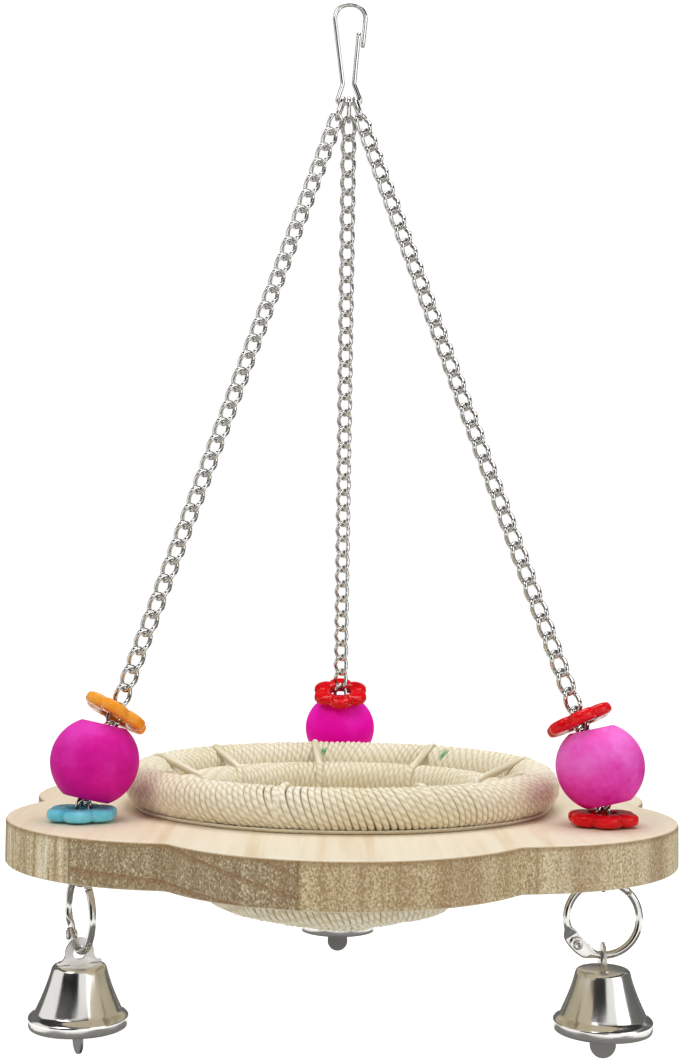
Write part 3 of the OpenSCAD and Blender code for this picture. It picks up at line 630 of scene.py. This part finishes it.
def chain_mesh(side):
    """Twisted links: each a stadium of wire, wide w and up h, whose plane turns with h, so that one
    bow stands 35 degrees one way and the other 35 degrees the other way. The end links are flat."""
    line = chain_line(side)
    top, after = line[:-1], line[1:]
    bottom = after + unit(after - top) * LINK_GAP
    up, middle = unit(top - bottom), (top + bottom) / 2
    half_w = (LINK_W - LINK_WIRE) / 2
    straight = np.linalg.norm(top - bottom, axis=1, keepdims=True) / 2 + LINK_WIRE / 2 - half_w
    a = np.radians(np.linspace(0, 180, 9))
    leg = np.linspace(1, -1, 5)[1:-1]
    one, none = np.ones_like(leg), np.zeros_like(leg)
    w = half_w * np.concatenate([np.cos(a), -one, -np.cos(a), one])
    bow = half_w * np.concatenate([np.sin(a), none, -np.sin(a), none])
    level = np.concatenate([np.ones_like(a), leg, -np.ones_like(a), -leg])
    ring = JOINTS["ring_swing_" + side][1]
    twist = np.full(len(top), LINK_TWIST)
    twist[[0, -1]] = 0
    flat_turn = np.zeros(len(top))
    flat_turn[[0, -1]] = 90, 90 + math.degrees(math.atan2(ring[1], ring[0]))
    turn = np.radians(flat_turn[:, None] + twist[:, None] * level)[..., None]
    e1 = unit(np.array([1.0, 0, 0]) - up[:, :1] * up)[:, None]
    e2 = np.cross(up[:, None], e1)
    wide, face = e1 * np.cos(turn) + e2 * np.sin(turn), e2 * np.cos(turn) - e1 * np.sin(turn)
    height = straight * level + bow
    path = middle[:, None] + wide * w[:, None] + up[:, None] * height[..., None]
    return grid_mesh(tube(path, LINK_WIRE / 2, 10, face, closed=True), wrap_rows=True)


# Beads

def flower_mesh(place, axis, outward):
    """A flower bead: round petals on a circle give the outline R(t), and a rounded section runs from the
    bore to R. The section thins in the grooves between petals and dips at each petal's middle."""
    t = np.linspace(0, 2 * np.pi, 144, endpoint=False)
    s = np.linspace(0, 2 * np.pi, 28, endpoint=False)[:, None]
    petal = (t * PETALS / (2 * np.pi) + 0.5) % 1 - 0.5
    a = petal * 2 * np.pi / PETALS
    offset = FLOWER_R - PETAL_R
    outline = offset * np.cos(a) + np.sqrt(PETAL_R ** 2 - (offset * np.sin(a)) ** 2)
    c, h = squared(np.cos(s), PETAL_POWER), squared(np.sin(s), PETAL_POWER)
    r = (outline + FLOWER_BORE_R) / 2 + (outline - FLOWER_BORE_R) / 2 * c
    groove = GROOVE_DEPTH * np.abs(2 * petal) ** GROOVE_POWER * ease((r - GROOVE_R) / GROOVE_RUN)
    dip = DIP_DEPTH * np.exp(-((r - DIP_AT) ** 2 + (r * a) ** 2) / DIP_R ** 2)
    height = FLOWER_T / 2 * h * (1 - groove - dip)
    first = unit(outward - (outward @ axis) * axis)
    spoke = first * np.cos(t)[:, None] + np.cross(axis, first) * np.sin(t)[:, None]
    return grid_mesh(place + r[..., None] * spoke + height[..., None] * axis, wrap_rows=True)


def ball_mesh(side):
    """A turned wooden ball: a sphere with a bore whose edge is eased, and slow hand-turned waves of
    about 0.1 mm over its surface."""
    place, axis = JOINTS["ball_spin_" + side]
    edge = math.degrees(math.asin(BALL_BORE_R / BALL_R))
    shell = arc((0, 0), BALL_R, 90 - edge - EASE_ANGLE, edge + EASE_ANGLE - 90, 48)
    end = shell[0, 1]
    bore = np.array([[EASE_W, -end], [0, EASE_H - end], [0, 0], [0, end - EASE_H], [EASE_W, end]])
    bore = bore + [BALL_BORE_R, 0]
    points = turned(np.concatenate([shell, bore]), place, axis, 96)
    away = points - place
    wave = np.sin(0.31 * away[..., 0] + 1.1) * np.sin(0.37 * away[..., 1]) + np.sin(0.43 * away[..., 2] + 0.4)
    return grid_mesh(place + away * (1 - BALL_LESS + BALL_WAVE * wave[..., None]), wrap_rows=True)


# Book rings

def ring_half_mesh(side, hand):
    """Half a book ring: a round section carried round an arc, which flattens to a lug as it nears the
    hinge, steps to one side of the ring's plane and ends in a half disc round the rivet."""
    high, level = JOINTS["ring_swing_" + side]
    centre, normal = (high + JOINTS["bell_swing_" + side][0]) / 2, np.cross(level, UP)
    start = SNAP_ANGLE + SNAP_GAP if hand < 0 else SNAP_ANGLE + 360
    over = math.degrees(LUG_R / RING_R)
    fine = HINGE_ANGLE + hand * np.linspace(over * 2, -over, 24)
    angle = np.concatenate([np.linspace(start, fine[0], 40)[:-1], fine])
    d = hand * np.radians(angle - HINGE_ANGLE) * RING_R
    flat = ease((LUG_FROM - d) / LUG_RUN)
    end = np.sqrt(np.clip(LUG_R ** 2 - np.minimum(d, 0) ** 2, 0, None))
    half_w = np.where(d < 0, end, RING_WIRE / 2 * (1 - flat) + LUG_R * flat)
    half_t = RING_WIRE / 2 * (1 - flat) + LUG_T / 2 * flat
    aside = hand * (LUG_T + RIVET_GAP) / 2 * flat
    s = np.linspace(0, 2 * np.pi, 16, endpoint=False)
    power = (2 / (2 + 4 * flat))[:, None]
    c, h = squared(np.cos(s), power), squared(np.sin(s), power)
    a = np.radians(angle)[:, None]
    spoke = level * np.cos(a) + UP * np.sin(a)
    out = (RING_R + half_w[:, None] * c)[..., None]
    points = centre + spoke[:, None] * out + normal * (aside[:, None] + half_t[:, None] * h)[..., None]
    return grid_mesh(capped(points))


def rivet_mesh(side):
    """A hollow rivet through both lugs: a shank and two domed heads with a dimple, turned as one."""
    place, axis = JOINTS["ring_open_" + side]
    grip = LUG_T + 1.5 * RIVET_GAP
    head = np.array([[0, 0.45], [0.3, 0.5], [0.45, 0.95], [0.65, 1.0], [0.9, 0.8], [1.0, 0.35], [1.0, 0.0]])
    head = head * [RIVET_HEAD_R, RIVET_HEAD_T] + [0, grip]
    shank = np.array([[RIVET_R, grip]])
    profile = np.concatenate([head, shank, shank * [1, -1], head[::-1] * [1, -1]])
    return grid_mesh(turned(profile, place, axis, 32))


# Bells

def bell_mesh(side):
    """A bell turned from its section: from its top's middle, out over the shoulder and down the cone, which
    hollows a little, to a crease, out to a rounded band, in to the lip, and back up one wall inside."""
    slope = math.degrees(math.atan2(WAIST_R - BELL_TOP_R, BELL_H - WAIST_H))
    reach = SHOULDER_R * math.tan(math.radians(90 - slope) / 2)
    shoulder = arc((BELL_TOP_R - reach, -SHOULDER_R), SHOULDER_R, 90, slope, 8)
    t = np.linspace(0, 1, 16)[1:]
    crease = np.array([WAIST_R, WAIST_H - BELL_H])
    cone = shoulder[-1] + (crease - shoulder[-1]) * t[:, None]
    cone[:, 0] -= CONE_HOLLOW * np.sin(np.pi * t)
    swell = np.sin(np.pi / 2 * t) ** SWELL_POWER
    band = np.column_stack([WAIST_R + (BELL_R - WAIST_R) * swell, crease[1] - SWELL_H * t])
    turn_in = np.radians(np.linspace(0, 90, 9)[1:])
    lip_h = WAIST_H - SWELL_H - BELL_WALL / 2
    tuck = np.column_stack([BELL_R - LIP_TUCK * (1 - np.cos(turn_in)), band[-1, 1] - lip_h * np.sin(turn_in)])
    outer = np.concatenate([shoulder, cone, band, tuck])
    lip = arc(outer[-1] - [BELL_WALL / 2, 0], BELL_WALL / 2, 0, -180, 8)[1:-1]
    inner = outer[::-1] - [BELL_WALL, 0]
    inner[:, 1] = np.minimum(inner[:, 1], -BELL_WALL)
    section = np.concatenate([[[0, 0]], outer, lip, inner, [[0, -BELL_WALL]]])
    top = STATION[side] + UP * node_box("bell_shell_" + side)[1][2]
    return grid_mesh(turned(section, top, UP, 128))


# Nest

def rim_radius(t):
    """The wound hoop's outer radius at t turns: a tenth less at the front than at the back."""
    return RIM_TUBE / 2 * (1 - RIM_THIN + RIM_THIN * np.sin(2 * np.pi * t))


def rim_hoop(t):
    """The rim's middle line at t turns: a circle that lies one radius above the board."""
    return polar(RIM_R, 2 * np.pi * t, BOARD_TOP + SEAT_GAP + rim_radius(t))


def turn_part(t):
    """The number of the turn at t turns, the part of it done, and the part of its step down done."""
    n = np.floor(np.clip(t, 0, COIL_TURNS))
    return n, t - n, ease((t - n - LEVEL_SHARE) / (1 - LEVEL_SHARE))


def coil_radius(t):
    """The wound coil's outer radius at t turns: fuller where a turn has not yet stepped down to the
    next one, so that the turns lie close."""
    n, part, stepped = turn_part(t)
    fuller = np.interp(n, range(len(TURN_FULLER)), TURN_FULLER)
    return COIL_TUBE / 2 + COIL_OUT + fuller * np.clip(part - stepped, 0, 1)


def bowl_coil(t):
    """The coil's middle line at t turns: the bowl's section followed by its length, while the angle
    winds on steadily. The first turn lies level and steps down near its end, and the lower ones
    move in steadily."""
    n, part, stepped = turn_part(t)
    steady = np.interp(n, range(len(TURN_STEADY)), TURN_STEADY)
    length = COIL_PITCH * (n + stepped * (1 - steady) + part * steady)
    r = np.interp(length, BOWL_RUN, BOWL_SECTION[:, 0])
    z = np.interp(length, BOWL_RUN, BOWL_SECTION[:, 1]) + BOARD_TOP
    return polar(r, np.radians(COIL_START + 360 * t), z)


def core_frame(line, t):
    """Directions out of and over a winding line, square to it."""
    step = 0.004
    way = unit(line(t + step) - line(t - step))
    out = unit(np.cross(way, UP))
    return out, np.cross(out, way)


def even_turns(line, turns, share):
    """Turns along a line at a share of its length, so that wraps lie evenly on wide and narrow turns."""
    t = np.linspace(0, turns, 3000)
    length = run_length(line(t))
    held = np.clip(share, 0, 1)
    return np.interp(held * length[-1], length, t) + (share - held) * turns


def winding(line, turns, wraps, per_wrap, radius, lean, round_ends):
    """A cord wound round a line: at share s it stands at angle a = 2 pi wraps s round the line, a radius
    away. lean slants the wraps by moving them back along the line where they pass over the top. Slow
    waves shift the wraps a little, as hand winding does. Returns the path, its outward side, the turns
    along the line and the angle."""
    s = np.linspace(0, 1, wraps * per_wrap, endpoint=False)
    a = 2 * np.pi * wraps * s
    shift = -lean * (1 + waves(a, LEAN_DRIFT)) * np.sin(a) + waves(a, PLACE_DRIFT)
    t = even_turns(line, turns, s + shift / wraps)
    out, over = core_frame(line, t)
    side = out * np.cos(a)[:, None] + over * np.sin(a)[:, None]
    away = (radius(t) - WRAP_R) * (1 + waves(a, HEIGHT_DRIFT))
    if round_ends:
        near = np.minimum(s, 1 - s) * wraps
        away = away * np.sqrt(1 - (1 - np.clip(near / END_WRAPS, END_START, 1)) ** 2)
    return line(t) + away[:, None] * side, side, t, a


def rim_mesh():
    """The cord wound round the hoop. Marks are set where wraps part and the hoop's core shows, at two
    small places on the inner slope."""
    path, side, t, a = winding(rim_hoop, 1, RIM_WRAPS, 20, rim_radius, lean=1.5, round_ends=False)
    points = tube(path, WRAP_R, WRAP_SIDES, side, closed=True, spread=WRAP_SPREAD)
    azimuth, over = np.degrees(2 * np.pi * t) % 360, np.degrees(a) % 360
    bare = np.zeros(len(t))
    for spot_azimuth, spot_over, reach in BARE_SPOTS:
        off = ((azimuth - spot_azimuth) / reach) ** 2 + ((over - spot_over) / (SPOT_STRETCH * reach)) ** 2
        bare = np.maximum(bare, 1 - ease(off - SPOT_FULL))
    length = RIM_WRAPS * 2 * np.pi * (RIM_TUBE / 2 - WRAP_R)
    return grid_mesh(points, wrap_rows=True, cord=length, marks=np.repeat(bare, WRAP_SIDES))


def coil_mesh():
    """The cord wound round the bowl's coil, closing in to a round end at either end."""
    path, side, _, _ = winding(bowl_coil, COIL_TURNS, COIL_WRAPS, 14, coil_radius, lean=1.2, round_ends=True)
    points = tube(path, WRAP_R, WRAP_SIDES, side, spread=WRAP_SPREAD)
    return grid_mesh(capped(points), cord=COIL_WRAPS * np.pi * (COIL_TUBE - CORD_D))


def core_mesh(line, turns, radius, steps, closed):
    """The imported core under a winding: a plain tube along the same line."""
    t = np.linspace(0, turns, steps, endpoint=not closed)
    points = tube(line(t), radius(t) - CORD_D, 14, core_frame(line, t)[0], closed=closed)
    return grid_mesh(points if closed else capped(points), wrap_rows=closed, cord=steps)


def tie_mesh():
    """Lashings: each is an arc over the rim, from low outside, that runs on into an arc round the coil's
    inner side and in between two turns. It is pressed into the winding outside and on top, stands
    free of it inside, and leans a few degrees as it comes down."""
    paths, sides = [], []
    counts = 29, 21
    for angle, lean in TIES:
        over_rim, over_coil = float(rim_radius(angle / 360)), COIL_TUBE / 2 + TIE_GAP
        rim = np.array([RIM_R, BOARD_TOP + SEAT_GAP + over_rim])
        spot = bowl_coil(np.array([((angle - COIL_START) % 360) / 360]))[0]
        coil = np.array([math.hypot(spot[0], spot[1]), spot[2]])
        way = unit(coil - rim)
        slip = (over_rim - over_coil) / np.linalg.norm(coil - rim)
        off = way * slip + np.array([way[1], -way[0]]) * math.sqrt(1 - slip ** 2)
        leave = math.degrees(math.atan2(off[1], off[0])) % 360
        turn = [np.linspace(TIE_START, leave, counts[0]), np.linspace(leave, TIE_STOP, counts[1])]
        turn = np.concatenate(turn)
        hub, reach = np.repeat([rim, coil], counts, axis=0), np.repeat([over_rim, over_coil], counts)
        reach = reach - PRESS * ease((PRESS_STOP - turn) / PRESS_RUN)
        out = polar(1, np.radians(turn), 0 * turn)[:, :2]
        flat = hub + reach[:, None] * out
        a = np.radians(angle + lean * (ease(np.linspace(-0.4, 1.2, len(flat))) - 0.1))
        spoke = polar(1, a, 0 * a)
        paths.append(spoke * flat[:, :1] + UP * flat[:, 1:])
        sides.append(spoke * out[:, :1] + UP * out[:, 1:])
    points = np.stack([capped(tie) for tie in tube(np.stack(paths), TIE_R, 12, np.stack(sides))])
    return grid_mesh(points, cord=TIE_L)


def foot_mesh():
    """A thinner cord laid on the board round the rim's foot, in the corner under the tube."""
    t = np.linspace(0, 1, 300, endpoint=False)
    a = 2 * np.pi * t
    tube_r = rim_radius(t)
    lift = FOOT_R + FOOT_LIFT
    rise = SEAT_GAP + tube_r - lift
    reach = RIM_R + np.sqrt((tube_r + FOOT_R) ** 2 - rise ** 2) + waves(a, FOOT_WAVES)
    points = tube(polar(reach, a, BOARD_TOP + lift + 0 * a), FOOT_R, 10, UP, closed=True)
    return grid_mesh(points, wrap_rows=True, cord=2 * np.pi * RIM_R)


# The object

place_piece("board", board_mesh(), "nest_platform", "pine", PINE, "platform")
place_piece("hook_wire", hook_mesh(), "hook", "nickel_plate", SHADED_NICKEL_WIRE, "snap_hook")
for name, mesh, *nodes in (
        ("rim_winding", rim_mesh(), "nest_rim"),
        ("rim_core", core_mesh(rim_hoop, 1, rim_radius, 120, closed=True)),
        ("coil_winding", coil_mesh(), "nest_coil"),
        ("coil_core", core_mesh(bowl_coil, COIL_TURNS, coil_radius, 400, closed=False)),
        ("tie_lashings", tie_mesh(), "tie_cords"),
        ("foot_cord", foot_mesh())):
    place_piece(name, mesh, "nest_platform", "cotton", COTTON, *nodes)

NODE_SLOT = {part["node"]: part["material_slot"] for part in frame["record"]["subparts"]}
for side in SIDES:
    outward = unit(STATION[side])
    place_piece("links_" + side, chain_mesh(side), "nest_platform", "nickel_plate", SHADED_NICKEL_WIRE,
                "chain_" + side)
    place_piece("wooden_ball_" + side, ball_mesh(side), "ball_" + side, "dyed_wood", MAGENTA[side],
                "ball_" + side)
    for level in ("upper", "lower"):
        bead, slot = f"{level}_flower_{side}", NODE_SLOT[f"{level}_flower_{side}"]
        mesh = flower_mesh(*JOINTS[f"{level}_flower_spin_{side}"], outward)
        place_piece(f"{level}_bead_{side}", mesh, bead, slot, BEADS[slot], bead)
    for level, hand in (("upper", -1), ("lower", 1)):
        place_piece(f"book_ring_{level}_{side}", ring_half_mesh(side, hand), f"ring_{level}_{side}",
                    "nickel_plate", SHADED_NICKEL_WIRE, f"ring_{level}_half_{side}")
    place_piece("hinge_rivet_" + side, rivet_mesh(side), "ring_upper_" + side, "nickel_plate", SHADED_NICKEL_STRIP,
                "ring_rivet_" + side)
    place_piece("bell_" + side, bell_mesh(side), "bell_" + side, "nickel_plate", LIT_NICKEL_SHELL,
                "bell_shell_" + side)
    frame["nodes"]["bell_hanger_" + side].material_slots[0].material = SHADED_NICKEL_STRIP
    frame["nodes"]["bell_clapper_" + side].material_slots[0].material = DULL_SHADED_NICKEL_CLAPPER


# Stage, light and camera

WHITE = (1, 1, 1, 1)
# Nearly up, so that a lamp straight overhead has a level side too
NEAR_UP = (0.001, 0.002, 1.0)


def level_square(half, z):
    """Corners of a level square round the middle."""
    return [(-half, -half, z), (half, -half, z), (half, half, z), (-half, half, z)]


def stage_sheet(name, corners, colour):
    """A flat four-cornered sheet of plain paper. Returns the sheet, and its nodes' adder and shader."""
    mesh = bpy.data.meshes.new(name)
    mesh.from_pydata([tuple(c * MM for c in corner) for corner in corners], [], [(0, 1, 2, 3)])
    sheet = new_object(name, mesh)
    material, node, shader = new_material(name + "_paper")
    feed(shader, {"Base Color": srgb(colour), "Roughness": 0.9, "Specular IOR Level": 0.0})
    mesh.materials.append(material)
    return sheet, node, shader


def seen_by_eye(node, hidden, seen):
    """A strength that is seen for rays from the camera, a mirror or glass, and hidden for the rest."""
    path = node("LightPath", out=None)
    mirror = node("Math MAXIMUM", {0: path["Is Glossy Ray"], 1: path["Is Transmission Ray"]})
    eye = node("Math MAXIMUM", {0: path["Is Camera Ray"], 1: mirror})
    return node("MapRange", {"Value": eye}, span=(0.0, 1.0, hidden, seen))


def soft_lamp(name, place, aim, size, power):
    """A square soft box at a place, turned to an aim, which the camera doesn't see."""
    light = bpy.data.lights.new(name, "AREA")
    light.energy = power
    light.size = size * MM
    lamp = new_object(name, light)
    back = unit(np.array(place, float) - np.array(aim, float))
    level = unit(np.cross(NEAR_UP, back))
    turn = np.eye(4)
    turn[:3, :3] = np.column_stack([level, np.cross(back, level), back])
    turn[:3, 3] = np.array(place) * MM
    lamp.matrix_world = Matrix(turn.tolist())
    lamp.visible_camera = False


FLOOR_DROP, FLOOR_HALF = 150, 4000
FLOOR_Z = float(cad_box[0][2]) / MM - FLOOR_DROP
_, node, shader = stage_sheet("floor", level_square(FLOOR_HALF, FLOOR_Z), "#f4f4f2")
# Far from the lamps the floor's paper is seen as white, and near the object it shows light and shadow
place = node("TexCoord", out="Object")
off = node("VectorMath DISTANCE", {0: place, 1: (0, 0, FLOOR_Z * MM)}, "Value")
far = node("MapRange", {"Value": off}, span=(300 * MM, 800 * MM, 0.15, 0.8))
glow = node("Math MULTIPLY", {0: far, 1: seen_by_eye(node, 0.0, 1.0)})
feed(shader, {"Emission Color": WHITE, "Emission Strength": glow})

# Grey cards, seen only in what is glossy. Level ones are rows of (half width, height, colour), and upright
# ones of (azimuth from the camera, half width, colour), with both angles in degrees.
LEVEL_CARDS = ((1600, 1100, "#4a4a48"), (420, FLOOR_Z + 5, "#8a8a88"))
UPRIGHT_CARDS = ((-27, 32, "#262625"), (100, 28, "#7c7c7a"), (180, 50, "#7c7c7a"), (-135, 22, "#7c7c7a"))
CARD_REACH, CARD_LOW, CARD_HIGH = 1000, -800, 500
cards = [(level_square(half, z), grey) for half, z, grey in LEVEL_CARDS]
for azimuth, half, grey in UPRIGHT_CARDS:
    mid, wide = math.radians(azimuth - 90), CARD_REACH * math.tan(math.radians(half))
    away, level = np.array([math.cos(mid), math.sin(mid)]), np.array([-math.sin(mid), math.cos(mid)])
    one, other = CARD_REACH * away - wide * level, CARD_REACH * away + wide * level
    cards.append(([(*one, CARD_LOW), (*other, CARD_LOW), (*other, CARD_HIGH), (*one, CARD_HIGH)], grey))
for number, (corners, grey) in enumerate(cards):
    card = stage_sheet(f"grey_card_{number}", corners, grey)[0]
    card.visible_camera = card.visible_diffuse = card.visible_shadow = False

world = bpy.data.worlds.new("white_studio")
world.use_nodes = True
bpy.context.scene.world = world
sky = world.node_tree
feed(sky.nodes["Background"], {"Color": WHITE, "Strength": seen_by_eye(partial(add, sky), 0.38, 1.0)})

# Soft boxes, all turned to the object's middle: name, place, size and power in watts
MIDDLE = (0, 0, -150)
for name, place, size, power in (("key_box", (-600, -700, 650), 600, 4.0),
                                 ("fill_box", (800, -600, 200), 600, 2.0),
                                 ("top_box", (60, 100, 800), 700, 6.2)):
    soft_lamp(name, place, MIDDLE, size, power)

# The camera stands where the photo's did: focal length and image height in pixels, turns in radians
PHOTO_FOCAL, PHOTO_H, SENSOR_H = 1489.6, 1061, 36
EYE = np.array([-9.1, -370.7, BOARD_TOP + 48.8])
YAW, PITCH, ROLL, OBJECT_TURN = -0.0212, 0.0503, 0.0109, math.radians(0.77)


def photo_camera():
    """The photo's camera: yaw, pitch and roll set its axes, and all turn with the object about Z."""
    ahead = np.array([-math.sin(YAW), math.cos(YAW), 0])
    right = np.array([math.cos(YAW), math.sin(YAW), 0])
    look = math.cos(PITCH) * ahead + math.sin(PITCH) * UP
    up = -math.sin(PITCH) * ahead + math.cos(PITCH) * UP
    right, up = math.cos(ROLL) * right + math.sin(ROLL) * up, math.cos(ROLL) * up - math.sin(ROLL) * right
    pose = np.eye(4)
    pose[:3, :3] = np.column_stack([right, up, -look])
    pose[:3, 3] = EYE * MM
    data = bpy.data.cameras.new("photo_camera")
    data.sensor_fit = "VERTICAL"
    data.sensor_height = SENSOR_H
    data.lens = SENSOR_H * PHOTO_FOCAL / PHOTO_H
    data.clip_start = 0.01
    camera = new_object("photo_camera", data)
    camera.matrix_world = Matrix.Rotation(OBJECT_TURN, 4, "Z") @ Matrix(pose.tolist())
    return camera


bpy.context.scene.camera = photo_camera()
bpy.context.scene.view_settings.view_transform = "Standard"
